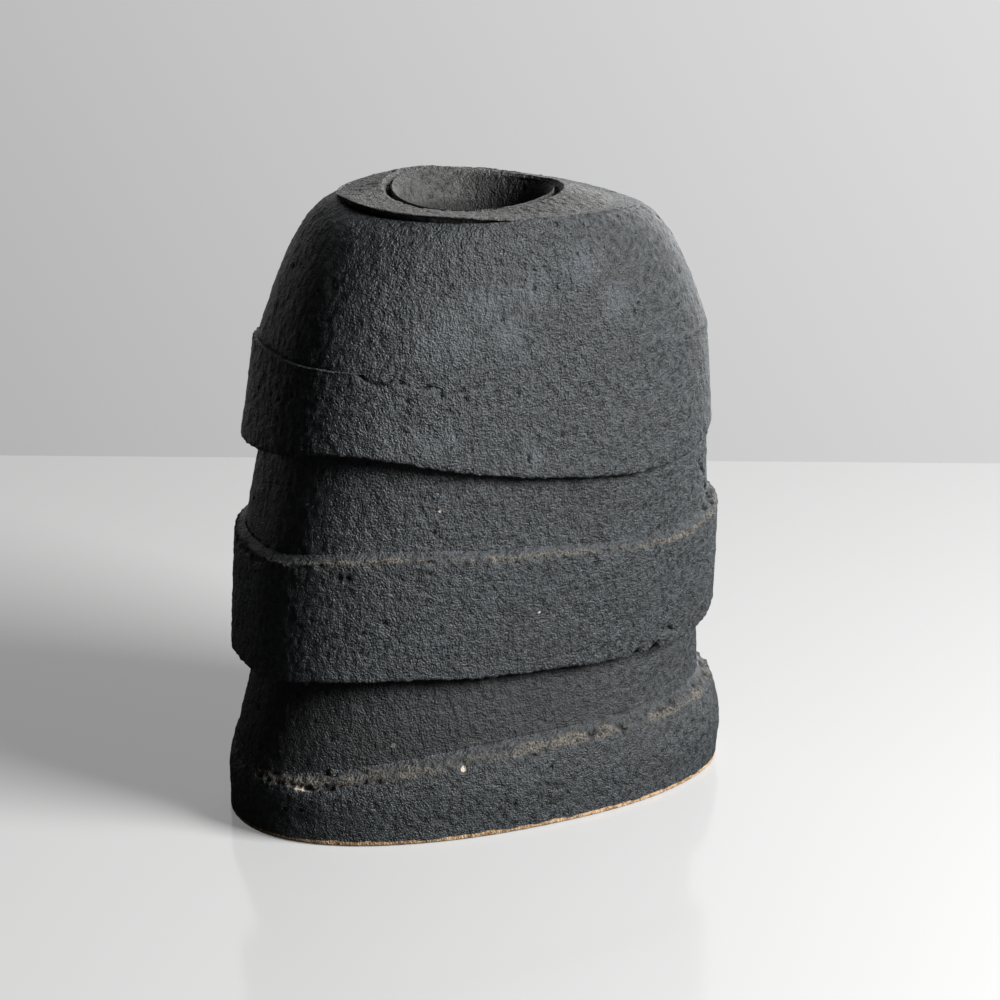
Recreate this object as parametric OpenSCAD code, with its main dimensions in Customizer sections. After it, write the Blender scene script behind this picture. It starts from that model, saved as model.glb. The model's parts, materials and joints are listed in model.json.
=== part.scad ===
// Slab-built stoneware vase, oval in plan and stacked from wrapped bands of clay.
// An inner tube of two wall slabs stands on the floor slab. A foot band, a middle band and a
// skirt are wrapped round it, and a domed shoulder closes the top with a collar and a throat.
// Every slab is luted to its neighbours face to face: they share the same rings of points.
// Length runs along X, depth along Y, height along Z, and the floor's underside is z = 0.

/* [Clay] */
// Thickness of the wall slabs
wall_thickness = 6; // [4:0.5:8]
// Thickness of the floor slab
floor_thickness = 7; // [5:0.5:10]
// Power of the foot's oval outline: 2 is an ellipse, more is squarer
foot_power = 2.2; // [1.8:0.05:3]
// Power of the oval outline from the lower wall to the top of the skirt
body_power = 2.7; // [1.8:0.05:3]
// Power of the oval outline of the collar and the mouth
crown_power = 2; // [1.8:0.05:3]
// How far the underside of a lip rises on its way in to the wall
lip_undercut = 1.2; // [0.5:0.1:3]

/* [Foot band] */
// Half length and half depth at the table
base_size = [76.3, 42.2]; // [40:0.1:80]
// Shift of the foot's edge at the table, along the length
base_shift = -0.5; // [-3:0.1:3]
// Half length and half depth where the foot band swells most
bulge_size = [77.2, 43.9]; // [40:0.1:80]
// Height of the swell
bulge_height = 13.5; // [9:0.5:17]
// Half length and half depth at the outer edge of the foot ledge
foot_ledge_size = [74.5, 42.8]; // [40:0.1:80]
// Shift of that edge along the length
foot_ledge_shift = -0.7; // [-3:0.1:3]
// Height of that edge
foot_ledge_height = 23.5; // [20:0.5:30]
// Rise of the foot ledge per millimetre of length
foot_ledge_rise = 0.039; // [-0.05:0.001:0.05]
// Waviness of the foot ledge: two-wave cosine and sine, three-wave cosine and sine
foot_ledge_wave = [0, -1.7, 1.3, 1.3]; // [-3:0.1:3]
// Height that the foot ledge gains on its way in to the wall
foot_ledge_slope = 3; // [1:0.5:4]
// Half length and half depth of the floor, and of the lower wall at its foot
foot_wall_size = [72.2, 38.7]; // [34:0.1:76]
// Shift of the floor and of the wall's foot along the length
foot_wall_shift = -2.6; // [-3:0.1:3]

/* [Middle band] */
// Half length and half depth at the lower lip
middle_lip_size = [72.9, 40.7]; // [38:0.1:80]
// Shift of the lower lip along the length
middle_lip_shift = -1.4; // [-3:0.1:3]
// Height of the lower lip
middle_lip_height = 48; // [42:0.1:50]
// Rise of the lower lip per millimetre of length
middle_lip_rise = 0.005; // [-0.05:0.001:0.05]
// Waviness of the lower lip, as for the foot ledge
middle_lip_wave = [1.7, -0.8, 2.8, -0.3]; // [-3:0.1:3]
// Half length and half depth of the lower wall behind the lip
lower_top_size = [66.8, 35.4]; // [32:0.1:74]
// Shift of the lower wall there, along the length
lower_top_shift = 0; // [-3:0.1:3]
// Half length and half depth at the outer edge of the middle ledge
middle_ledge_size = [72, 42.8]; // [40:0.1:80]
// Shift of the middle ledge along the length
middle_ledge_shift = -0.1; // [-3:0.1:3]
// Height of that edge
middle_ledge_height = 83.1; // [78:0.1:88]
// Rise of the middle ledge per millimetre of length
middle_ledge_rise = -0.014; // [-0.05:0.001:0.05]
// Waviness of the middle ledge, as for the foot ledge
middle_ledge_wave = [0.4, -0.4, 2.6, -0.2]; // [-3:0.1:3]
// Height that the middle ledge gains on its way in to the wall
middle_ledge_slope = 2; // [1:0.5:4]
// Half length and half depth of the upper wall at the ledge
upper_foot_size = [68.7, 40.6]; // [38:0.1:76]
// Height of the hidden butt seam between the lower and the upper wall
wall_seam_height = 65; // [60:0.5:70]

/* [Dome] */
// Half length and half depth at the hanging lip of the skirt
dome_lip_size = [68.6, 45]; // [40:0.1:80]
// Shift of the hanging lip along the length
dome_lip_shift = -0.3; // [-3:0.1:3]
// Height of the hanging lip
dome_lip_height = 107.6; // [100:0.1:112]
// Rise of the hanging lip per millimetre of length
dome_lip_rise = -0.041; // [-0.05:0.001:0.05]
// Waviness of the hanging lip, as for the foot ledge
dome_lip_wave = [1.4, 0.9, 2.7, -2.1]; // [-4:0.1:4]
// Half length and half depth of the upper wall behind the lip
upper_top_size = [65.5, 41.3]; // [38:0.1:76]
// Shift of the upper wall there, along the length
upper_top_shift = 2.1; // [-3:0.1:3]
// Half length and half depth at the top of the skirt
skirt_top_size = [65.2, 43.3]; // [38:0.1:76]
// Shift of the top of the skirt along the length
skirt_top_shift = 1; // [-3:0.1:3]
// Height of the top of the skirt
skirt_top_height = 138; // [134:0.5:142]
// Step from the skirt in to the shoulder cap
skirt_step = 0.8; // [0.4:0.1:1.5]
// Height at which the dome's oval section would be widest
dome_spring_height = 76; // [50:1:130]
// Power of the dome's section: 2 is an ellipse, less is more pointed
dome_power = 1.75; // [1.6:0.05:2.4]

/* [Mouth] */
// Half length and half depth of the collar
collar_size = [43.8, 37.5]; // [32:0.1:48]
// Centre of the collar, along X and Y
collar_centre = [2.3, -1]; // [-3:0.1:3]
// Height of the shoulder under the collar's edge
collar_seat_height = 175.4; // [172:0.1:178]
// Rise of the shoulder there, per millimetre of length
collar_seat_rise = -0.043; // [-0.07:0.001:0]
// Waviness of the collar's edge, as for the foot ledge
collar_wave = [-0.9, -0.3, -0.5, 0.2]; // [-2:0.1:2]
// Thickness of the collar's edge at its middle
collar_thickness = 1.5; // [1.2:0.1:3]
// Change of that thickness per millimetre of length
collar_thinning = -0.015; // [-0.02:0.001:0]
// Half length and half depth of the mouth in the collar
mouth_size = [24.2, 23.2]; // [20:0.1:28]
// Centre of the mouth, along X and Y
mouth_centre = [-1.4, 0.7]; // [-3:0.1:3]
// Height of the mouth's rim
mouth_height = 178.4; // [175:0.1:181]
// Rise of the rim per millimetre of length and of depth
mouth_rise = [0, 0.054]; // [-0.07:0.001:0.07]
// Waviness of the rim, as for the foot ledge
mouth_wave = [-0.1, -1, 0.2, -0.1]; // [-2:0.1:2]
// Thickness of the collar at the mouth
mouth_thickness = 2.5; // [1.5:0.1:3]
// Half length and half depth of the throat at its lower end
throat_size = [17, 15]; // [14:0.5:20]
// Height of the throat's lower end
throat_height = 156; // [150:1:162]
// Thickness of the throat
throat_thickness = 3.5; // [2.5:0.1:4]
// How far the throat's rim lies below the collar's upper face
liner_depth = 0.4; // [0.2:0.1:0.6]

/* [Luting coils] */
// Width of a coil pressed into an inner seam
coil_width = 6; // [4:0.5:7]

/* [Hidden] */
// Points round each outline
steps = 48;
// Rings up the curve of the dome
dome_rings = 6;
// Highest of the coils' crests over the wall, as a share of their width
coil_crest = 0.6;
no_wave = [0, 0, 0, 0];
wall = [wall_thickness, wall_thickness];

// Oval outline: both coordinates follow cosine and sine to the power 2 / power.
function oval_point(size, angle, power) =
    [size.x * sign(cos(angle)) * pow(abs(cos(angle)), 2 / power),
     size.y * sign(sin(angle)) * pow(abs(sin(angle)), 2 / power)];
function oval(size, power, shift) =
    [for (i = [0:steps - 1]) oval_point(size, 360 * i / steps, power) + shift];

// Two waves and three waves round the oval, as heights.
function wave_height(wave, angle) =
    wave[0] * cos(2 * angle) + wave[1] * sin(2 * angle)
    + wave[2] * cos(3 * angle) + wave[3] * sin(3 * angle);

// Ring in space: an oval outline on a gently sloping and waving level.
function ring(size, height, power, shift = [0, 0], rise = [0, 0], wave = no_wave) =
    [for (i = [0:steps - 1])
        let (angle = 360 * i / steps, p = oval_point(size, angle, power) + shift)
        [p.x, p.y, height + rise.x * p.x + rise.y * p.y + wave_height(wave, angle)]];

// Ring between two rings: out and up are its shares of the way across and of the way up.
function between(low, high, out, up) =
    [for (i = [0:steps - 1])
        [high[i].x + (low[i].x - high[i].x) * out,
         high[i].y + (low[i].y - high[i].y) * out,
         low[i].z + (high[i].z - low[i].z) * up]];

// Band of clay: rings listed up the outside and down the inside make one closed loop.
module band(rings) {
    count = len(rings);
    points = [for (r = rings) for (p = r) p];
    faces = [for (k = [0:count - 1]) for (i = [0:steps - 1])
        let (a = k * steps + i,
             b = k * steps + (i + 1) % steps,
             c = ((k + 1) % count) * steps + (i + 1) % steps,
             d = ((k + 1) % count) * steps + i)
        each [[a, d, c], [a, c, b]]];
    polyhedron(points, faces);
}

// Outer face of the two wall slabs, from the floor up.
function foot_wall_ring(inset, height, slope = 0) =
    ring(foot_wall_size - inset, height, foot_power, [foot_wall_shift, 0],
         [foot_ledge_rise * slope, 0], foot_ledge_wave * slope);
function lower_top_ring(inset, depth) =
    ring(lower_top_size - inset, middle_lip_height + lip_undercut - depth, body_power,
         [lower_top_shift, 0], [middle_lip_rise, 0], middle_lip_wave);
seam_size = (lower_top_size + upper_foot_size) / 2;
function seam_ring(inset, height) =
    ring(seam_size - inset, height, body_power, [middle_ledge_shift, 0]);
function upper_foot_ring(inset, depth) =
    ring(upper_foot_size - inset, middle_ledge_height + middle_ledge_slope - depth, body_power,
         [middle_ledge_shift, 0], [middle_ledge_rise, 0], middle_ledge_wave);
function upper_top_ring(inset, depth) =
    ring(upper_top_size - inset, dome_lip_height + lip_undercut - depth, body_power,
         [upper_top_shift, 0], [dome_lip_rise, 0], dome_lip_wave);
function top_ring(inset, height) =
    ring(skirt_top_size - inset, height, body_power, [skirt_top_shift, 0]);
wall_foot = foot_wall_ring([0, 0], floor_thickness);
wall_foot_ledge = foot_wall_ring([0, 0], foot_ledge_height + foot_ledge_slope, 1);
wall_middle_lip = lower_top_ring([0, 0], 0);
wall_seam = seam_ring([0, 0], wall_seam_height);
wall_middle_ledge = upper_foot_ring([0, 0], 0);
wall_dome_lip = upper_top_ring([0, 0], 0);
wall_top_height = skirt_top_height - 1;
wall_top = top_ring(wall, wall_top_height);

// Inner face of the wall slabs, one slab thickness in from the outer face.
inner_foot = foot_wall_ring(wall, floor_thickness);
inner_foot_coil = foot_wall_ring(wall, floor_thickness + coil_width);
inner_seam_low = seam_ring(wall, wall_seam_height - coil_width);
inner_seam = seam_ring(wall, wall_seam_height);
inner_seam_high = seam_ring(wall, wall_seam_height + coil_width);
inner_dome_lip = upper_top_ring(wall, lip_undercut);
inner_top_coil = top_ring(wall * 2, wall_top_height - coil_width);
inner_top = top_ring(wall * 2, wall_top_height);

// Rings that the skirt, the shoulder, the collar and the throat share with each other.
skirt_top = top_ring([0, 0], skirt_top_height);
shoulder_foot = top_ring([skirt_step, skirt_step], skirt_top_height - 0.2);
function seat_ring(inset, depth) =
    ring(collar_size - inset, collar_seat_height - depth, crown_power, collar_centre,
         [collar_seat_rise, 0], collar_wave);
function mouth_ring(inset, depth) =
    ring(mouth_size - inset, mouth_height - depth, crown_power, mouth_centre, mouth_rise, mouth_wave);
collar_seat = seat_ring([0, 0], 0);
collar_edge = ring(collar_size - [0.3, 0.3], collar_seat_height + collar_thickness, crown_power,
                   collar_centre, [collar_seat_rise + collar_thinning, 0], collar_wave);
mouth_seat = mouth_ring([0, 0], mouth_thickness);
throat_seat = mouth_ring([1, 1], mouth_thickness + wall_thickness);

// Shares of the way out and up, at an angle up the dome's oval section.
dome_rise = (skirt_top_height - dome_spring_height) / (collar_seat_height - dome_spring_height);
spring_angle = asin(pow(dome_rise, dome_power / 2));
function dome_out(angle) = pow(cos(angle) / cos(spring_angle), 2 / dome_power);
function dome_up(angle) = (pow(sin(angle), 2 / dome_power) - dome_rise) / (1 - dome_rise);
dome_angles = [for (k = [1:dome_rings]) spring_angle + (90 - spring_angle) * k / (dome_rings + 1)];
function dome_between(low, high) =
    [for (angle = dome_angles) between(low, high, dome_out(angle), dome_up(angle))];
function reversed(list) = [for (k = [len(list) - 1:-1:0]) list[k]];

// Oval floor slab, flat on both faces.
module floor_slab() {
    color("tan")
        linear_extrude(floor_thickness)
            polygon(oval(foot_wall_size, foot_power, [foot_wall_shift, 0]));
}

// Foot band round the floor slab and the foot of the lower wall, with a rough ledge on top.
module foot_band() {
    color("dimgray")
        band([ring(base_size, 0, foot_power, [base_shift, 0]),
              ring(bulge_size, bulge_height, foot_power),
              ring(foot_ledge_size, foot_ledge_height, foot_power, [foot_ledge_shift, 0],
                   [foot_ledge_rise, 0], foot_ledge_wave),
              wall_foot_ledge,
              wall_foot,
              foot_wall_ring([0, 0], 0)]);
}

// Lower wall slab, standing on the floor and ending behind the middle band.
module lower_wall() {
    color("darkslategray")
        band([wall_foot, wall_foot_ledge, wall_middle_lip, wall_seam,
              inner_seam, inner_seam_low, inner_foot_coil, inner_foot]);
}

// Middle band, wrapped over the butt seam of the two walls.
module middle_band() {
    color("dimgray")
        band([ring(middle_lip_size, middle_lip_height, body_power, [middle_lip_shift, 0],
                   [middle_lip_rise, 0], middle_lip_wave),
              ring(middle_ledge_size, middle_ledge_height, body_power, [middle_ledge_shift, 0],
                   [middle_ledge_rise, 0], middle_ledge_wave),
              wall_middle_ledge, wall_seam, wall_middle_lip]);
}

// Upper wall slab, from the butt seam up to the shoulder.
module upper_wall() {
    color("darkslategray")
        band([wall_seam, wall_middle_ledge, wall_dome_lip, wall_top,
              inner_top, inner_top_coil, inner_dome_lip, inner_seam_high, inner_seam]);
}

// Skirt of the dome, hanging over the upper wall with a wavy lip.
module skirt_band() {
    color("dimgray")
        band([ring(dome_lip_size, dome_lip_height, body_power, [dome_lip_shift, 0],
                   [dome_lip_rise, 0], dome_lip_wave),
              skirt_top, shoulder_foot, wall_top, wall_dome_lip]);
}

// Shoulder cap: the domed slab that sits on the skirt and the upper wall.
module shoulder_cap() {
    outside = dome_between(shoulder_foot, collar_seat);
    inside = reversed(dome_between(inner_top, seat_ring([5, 6], wall_thickness)));
    color("slategray")
        band(concat([shoulder_foot], outside, [collar_seat, mouth_seat, throat_seat],
                    inside, [inner_top, wall_top]));
}

// Collar: a thin ring of clay on the crown, proud at one end and blended in at the other.
module mouth_collar() {
    color("dimgray")
        band([collar_seat, collar_edge, mouth_ring([-1, -1], 0), mouth_seat]);
}

// Throat liner: a short funnel luted into the hole of the shoulder.
module throat_liner() {
    lining = [throat_thickness, throat_thickness];
    color("gray")
        band([throat_seat, mouth_seat,
              mouth_ring([1, 1], liner_depth),
              mouth_ring(lining, liner_depth),
              ring(throat_size - lining, throat_height, crown_power, mouth_centre),
              ring(throat_size, throat_height, crown_power, mouth_centre)]);
}

// Coil in the corner of the floor and the lower wall.
module floor_coil() {
    crest = [coil_crest, coil_crest] * coil_width;
    color("sienna")
        band([inner_foot, inner_foot_coil,
              foot_wall_ring(wall + crest, floor_thickness + coil_crest * coil_width),
              foot_wall_ring(wall + [coil_width, coil_width], floor_thickness)]);
}

// Coil over the butt seam of the two walls, on the inside.
module waist_coil() {
    crest = [coil_crest, coil_crest] * coil_width;
    color("sienna")
        band([inner_seam_low, inner_seam, inner_seam_high,
              seam_ring(wall + crest, wall_seam_height + coil_width / 3),
              seam_ring(wall + crest, wall_seam_height - coil_width / 3)]);
}

// Coil under the seam of the shoulder and the upper wall, on the inside.
module shoulder_coil() {
    crest = [coil_crest, coil_crest] * coil_width;
    color("sienna")
        band([inner_top_coil, inner_top,
              top_ring(wall * 2 + crest, wall_top_height - coil_width / 3),
              top_ring(wall * 2 + crest, wall_top_height - 2 * coil_width / 3)]);
}

floor_slab();
foot_band();
lower_wall();
middle_band();
upper_wall();
skirt_band();
shoulder_cap();
mouth_collar();
throat_liner();
floor_coil();
waist_coil();
shoulder_coil();
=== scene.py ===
"""Slab-built stoneware vase: rough bands of black-slipped clay round an oval tube, closed by a dome.

The sections follow the vase as a potter puts it together, from the floor slab to the throat.
Lengths are in millimetres until a mesh is made. X is the length, Y the depth and Z the height.
"""
import itertools
import json
import math

import bpy
import numpy as np
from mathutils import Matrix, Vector

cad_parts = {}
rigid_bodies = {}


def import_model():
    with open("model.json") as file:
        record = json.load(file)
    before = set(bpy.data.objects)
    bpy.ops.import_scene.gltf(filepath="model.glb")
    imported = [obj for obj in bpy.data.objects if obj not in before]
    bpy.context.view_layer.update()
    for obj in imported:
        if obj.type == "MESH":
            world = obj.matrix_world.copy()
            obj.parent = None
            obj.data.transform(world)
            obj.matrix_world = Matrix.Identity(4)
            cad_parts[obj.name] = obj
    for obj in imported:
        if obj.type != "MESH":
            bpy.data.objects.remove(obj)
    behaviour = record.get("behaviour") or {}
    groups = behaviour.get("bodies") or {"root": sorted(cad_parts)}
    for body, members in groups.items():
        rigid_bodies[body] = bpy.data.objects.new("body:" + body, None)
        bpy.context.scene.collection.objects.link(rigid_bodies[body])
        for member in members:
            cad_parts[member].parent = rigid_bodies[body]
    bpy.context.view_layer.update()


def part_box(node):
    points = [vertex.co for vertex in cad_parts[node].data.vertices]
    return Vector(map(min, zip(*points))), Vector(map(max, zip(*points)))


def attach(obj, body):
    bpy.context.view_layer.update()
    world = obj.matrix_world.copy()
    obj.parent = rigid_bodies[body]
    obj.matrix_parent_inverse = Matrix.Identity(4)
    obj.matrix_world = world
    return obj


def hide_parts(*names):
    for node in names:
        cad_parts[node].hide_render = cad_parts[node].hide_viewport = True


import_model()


# ---------------------------------------------------------------------------------------------
# Floor slab
# The oval slab of grogged buff stoneware that the vase is built up from. It is rolled out,
# cut to the oval and left bare, because the slip is wiped off whatever meets the kiln shelf.

MM = 0.001
FOOT_POWER = 2.2
BODY_POWER = 2.7
CROWN_POWER = 2.0


def node_size(node):
    """Half length, half depth, centre, lowest and highest level of a CAD node, in millimetres."""
    low, high = (np.array(corner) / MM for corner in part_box(node))
    return (high - low)[:2] / 2, (high + low)[:2] / 2, low[2], high[2]


def turns(count, ratio=1.6):
    """Angles whose points stand about equally far apart along an oval of that length to depth."""
    fine = np.linspace(0, 2 * np.pi, 20001)
    x = ratio * np.sign(np.cos(fine)) * np.abs(np.cos(fine)) ** (2 / BODY_POWER)
    y = np.sign(np.sin(fine)) * np.abs(np.sin(fine)) ** (2 / BODY_POWER)
    length = np.concatenate([[0], np.cumsum(np.hypot(np.diff(x), np.diff(y)))])
    return np.interp(np.linspace(0, length[-1], count, endpoint=False), length, fine)


def rail(turn, power, size, height, shift=(0, 0), rise=(0, 0), wave=(0, 0, 0, 0)):
    """One ring of points: an oval outline, with both coordinates as cosine and sine to the power
    2 / power, on a level that slopes along X and Y and has two and three waves round the oval."""
    c, s = np.cos(turn), np.sin(turn)
    x = size[0] * np.sign(c) * np.abs(c) ** (2 / power) + shift[0]
    y = size[1] * np.sign(s) * np.abs(s) ** (2 / power) + shift[1]
    z = height + rise[0] * x + rise[1] * y + wave[0] * np.cos(2 * turn) + wave[1] * np.sin(2 * turn)
    z = z + wave[2] * np.cos(3 * turn) + wave[3] * np.sin(3 * turn)
    return np.stack([x, y, z], -1)


class Skin:
    """A grid of points, rows along a profile and columns round the oval, with what is known of
    each row: its place (corner number plus share of the run to the next) and its way along."""

    def __init__(self, points, place, closed=True):
        self.points = points
        self.place = place
        self.closed = closed
        steps = np.linalg.norm(np.diff(points, axis=0), axis=-1).mean(1)
        self.way = np.concatenate([[0], np.cumsum(steps)])
        self.masks = {}

    def past(self, corner):
        """How far each row lies past a corner along the profile, in millimetres, as a column."""
        first = np.argmax(self.place >= corner)
        return (self.way - self.way[first])[:, None]

    def by_corner(self, values):
        """A value for each row from one value for each corner, as a column."""
        corners = np.arange(len(values) + 1)
        return np.interp(self.place, corners, [*values, values[0]])[:, None]

    def normals(self):
        """Unit normals: the cross product of the way round and the way along the profile."""
        if self.closed:
            along = np.roll(self.points, -1, 0) - np.roll(self.points, 1, 0)
        else:
            along = np.gradient(self.points, axis=0)
        round_ = np.roll(self.points, -1, 1) - np.roll(self.points, 1, 1)
        normal = np.cross(round_, along)
        return normal / np.maximum(np.linalg.norm(normal, axis=-1, keepdims=True), 1e-9)

    def push(self, height):
        """Moves every point along its normal by its own height."""
        self.points = self.points + self.normals() * height[..., None]


def loop(rails, radii, steps):
    """Closed profile through the rails. Each corner is a parabola that starts and ends one radius
    from its rail, and straight runs join the corners. steps is the spacing along each run."""
    rows, place = [], []
    for k, here in enumerate(rails):
        before, after = rails[k - 1], rails[(k + 1) % len(rails)]
        radius, after_radius = radii[k], radii[(k + 1) % len(rails)]
        to_before, to_after = before - here, after - here
        long_before = np.linalg.norm(to_before, axis=-1, keepdims=True)
        long_after = np.linalg.norm(to_after, axis=-1, keepdims=True)
        start = here + to_before * np.minimum(radius / long_before, 0.45)
        end = here + to_after * np.minimum(radius / long_after, 0.45)
        bends = max(1, math.ceil(1.7 * radius / min(steps[k - 1], steps[k])))
        for t in np.linspace(0, 1, bends + 1):
            rows.append((1 - t) ** 2 * start + 2 * t * (1 - t) * here + t * t * end)
            place.append(float(k))
        stop = after - to_after * np.minimum(after_radius / long_after, 0.45)
        count = math.ceil(np.linalg.norm(stop - end, axis=-1).mean() / steps[k])
        for t in np.linspace(0, 1, count + 1)[1:-1]:
            rows.append(end + (stop - end) * t)
            place.append(k + t)
    return Skin(np.stack(rows), np.array(place))


def add_mesh(name, skin, material):
    """Makes the mesh of a skin: four-sided faces between rows, the last row joined to the first
    when the profile is closed, and the end rows left open when it isn't."""
    points = skin.points
    rows, columns = points.shape[:2]
    index = np.arange(rows * columns).reshape(rows, columns)
    ahead = np.roll(index, -1, 1)
    if skin.closed:
        up, up_ahead = np.roll(index, -1, 0), np.roll(ahead, -1, 0)
    else:
        index, ahead = index[:-1], ahead[:-1]
        up, up_ahead = index + columns, ahead + columns
    faces = np.stack([index, ahead, up_ahead, up], -1).reshape(-1, 4)
    mesh = bpy.data.meshes.new(name)
    mesh.vertices.add(rows * columns)
    mesh.vertices.foreach_set("co", (points * MM).astype(np.float32).ravel())
    mesh.loops.add(faces.size)
    mesh.loops.foreach_set("vertex_index", faces.astype(np.int32).ravel())
    mesh.polygons.add(len(faces))
    mesh.polygons.foreach_set("loop_start", np.arange(0, faces.size, 4, dtype=np.int32))
    mesh.polygons.foreach_set("use_smooth", np.ones(len(faces), bool))
    mesh.update(calc_edges=True)
    for mask, values in skin.masks.items():
        layer = mesh.attributes.new(mask, "FLOAT", "POINT")
        whole = np.broadcast_to(values, (rows, columns))
        layer.data.foreach_set("value", whole.astype(np.float32).ravel())
    mesh.validate()
    piece = bpy.data.objects.new(name, mesh)
    bpy.context.scene.collection.objects.link(piece)
    piece.data.materials.append(material)
    return piece


def smooth(low, high, value):
    """Smooth step: 0 below low, 1 above high, a cubic between."""
    t = np.clip((value - low) / (high - low), 0, 1)
    return t * t * (3 - 2 * t)


def cell_table(cell, seed):
    """Three random numbers from 0 to 1 for every cell of a cubic lattice."""
    table = np.random.default_rng(seed).random((8192, 3))
    # Three large primes scatter neighbouring cells over the table.
    mixed = cell[..., 0] * 73856093 ^ cell[..., 1] * 19349663 ^ cell[..., 2] * 83492791
    return table[mixed % len(table)]


def noise(points, size, seed):
    """Gradient noise, about -1 to 1: each corner of a cubic lattice of that size gives a slope,
    and the eight slopes round a point are blended by a fifth-power ease."""
    scaled = points / size
    cell = np.floor(scaled).astype(np.int64)
    part = scaled - cell
    ease = part ** 3 * (part * (part * 6 - 15) + 10)
    total = np.zeros(points.shape[:-1])
    for corner in itertools.product((0, 1), repeat=3):
        slope = 2 * cell_table(cell + corner, seed) - 1
        weight = np.prod(np.where(np.array(corner) == 1, ease, 1 - ease), -1)
        total += weight * ((part - corner) * slope).sum(-1)
    return 1.6 * total


def nearest_seed(points, size, seed):
    """For scattered seeds, one in each cell of a cubic lattice: the distance to the nearest, in
    millimetres, and that seed's own random number."""
    scaled = points / size
    cell = np.floor(scaled).astype(np.int64)
    best = np.full(points.shape[:-1], 9.0)
    own = np.zeros(points.shape[:-1])
    for step in itertools.product((-1, 0, 1), repeat=3):
        around = cell + step
        spot = cell_table(around, seed)
        far = np.linalg.norm(around + spot - scaled, axis=-1)
        own = np.where(far < best, spot[..., 0] * 7.3 % 1, own)
        best = np.minimum(best, far)
    return best * size, own


class Wire:
    """One socket of a material's node tree. Arithmetic on it adds Math nodes."""

    def __init__(self, tree, socket=None):
        self.tree = tree
        self.socket = socket

    def node(self, kind, settings=None, inputs=None, output=0):
        """Adds a node: its settings first, then its sockets as values or wires."""
        made = self.tree.nodes.new(kind)
        for key, value in (settings or {}).items():
            setattr(made, key, value)
        for key, value in (inputs or {}).items():
            if isinstance(value, Wire):
                self.tree.links.new(value.socket, made.inputs[key])
            else:
                made.inputs[key].default_value = value
        return Wire(self.tree, made.outputs[output] if made.outputs else None)

    def maths(self, operation, first, second=0.0):
        """A Math node on two wires or numbers."""
        return self.node("ShaderNodeMath", {"operation": operation}, {0: first, 1: second})

    def __add__(self, other):
        return self.maths("ADD", self, other)

    def __radd__(self, other):
        return self.maths("ADD", other, self)

    def __rsub__(self, other):
        return self.maths("SUBTRACT", other, self)

    def __mul__(self, other):
        return self.maths("MULTIPLY", self, other)

    def __rmul__(self, other):
        return self.maths("MULTIPLY", other, self)

    def step(self, low, high):
        """Smooth step of this wire from 0 at low to 1 at high."""
        settings = {"interpolation_type": "SMOOTHSTEP"}
        return self.node("ShaderNodeMapRange", settings, {0: self, 1: low, 2: high})

    def mix(self, first, second):
        """Colour between two colours, by this wire."""
        return self.node("ShaderNodeMix", {"data_type": "RGBA"}, {0: self, 6: first, 7: second}, 2)

    def speckle(self, grains_per_metre, detail=3.0, stretch=(1, 1, 1)):
        """Noise on Object coordinates, about 0.25 to 0.75."""
        place = self.node("ShaderNodeTexCoord", output="Object")
        place = self.node("ShaderNodeMapping", None, {"Vector": place, "Scale": stretch})
        sizes = {"Vector": place, "Scale": grains_per_metre, "Detail": detail, "Roughness": 0.6}
        return self.node("ShaderNodeTexNoise", None, sizes)

    def mask(self, name):
        """A mask that the mesh holds for each of its points."""
        return self.node("ShaderNodeAttribute", {"attribute_name": name}, output="Fac")


def new_material(name):
    """An empty node material, and a wire that starts its nodes."""
    material = bpy.data.materials.new(name)
    material.use_nodes = True
    material.node_tree.nodes.clear()
    return material, Wire(material.node_tree)


def finish_surface(start, colour, roughness, grain_height, grain_depth, specular):
    """Principled shader with a bumped normal, wired to the material's output."""
    bump = {"Strength": 1.0, "Distance": grain_depth, "Height": grain_height}
    normal = start.node("ShaderNodeBump", None, bump)
    surface = start.node("ShaderNodeBsdfPrincipled", None, {
        "Base Color": colour, "Roughness": roughness, "Normal": normal, "Specular IOR Level": specular,
        "Diffuse Roughness": 1.0})
    start.node("ShaderNodeOutputMaterial", None, {"Surface": surface})


def bare_clay_material():
    """Unglazed buff stoneware: sandy tan with darker and paler grog, dry all over."""
    material, start = new_material("bare_clay")
    grain = start.speckle(700)
    drift = start.speckle(60)
    colour = grain.step(0.38, 0.62).mix((0.46, 0.29, 0.15, 1), (0.70, 0.50, 0.30, 1))
    colour = drift.step(0.45, 0.7).mix(colour, (0.58, 0.36, 0.18, 1))
    colour = start.speckle(1500, 1.0).step(0.62, 0.68).mix(colour, (0.16, 0.10, 0.06, 1))
    finish_surface(start, colour, 0.85 + 0.1 * grain, grain, 0.0003, 0.3)
    return material


bare_clay = bare_clay_material()
floor_size, floor_shift, floor_low, floor_high = node_size("floor_slab")
floor_turn = turns(240)
floor_rings = 28
floor_edge = 0.7
floor_flat_share = 0.985
floor_shares = floor_flat_share * np.linspace(0, 1, floor_rings)
# The profile runs from the middle of the underside, round the edge, to the middle of the top.
floor_levels = [floor_low] * floor_rings + [floor_edge, floor_high - floor_edge] + [floor_high] * floor_rings
floor_spread = [*floor_shares, 1, 1, *floor_shares[::-1]]
floor_rows = [rail(floor_turn, FOOT_POWER, floor_size * share, level, floor_shift)
              for share, level in zip(floor_spread, floor_levels)]
floor_skin = Skin(np.stack(floor_rows), np.zeros(len(floor_rows)), closed=False)
floor_inner = smooth(1.0, 3.0, floor_skin.points[..., 2])
floor_skin.push(0.25 * noise(floor_skin.points, 9, 11) * floor_inner)
floor_slab = add_mesh("floor_slab_clay", floor_skin, bare_clay)
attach(floor_slab, "root")
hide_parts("floor_slab")


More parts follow.
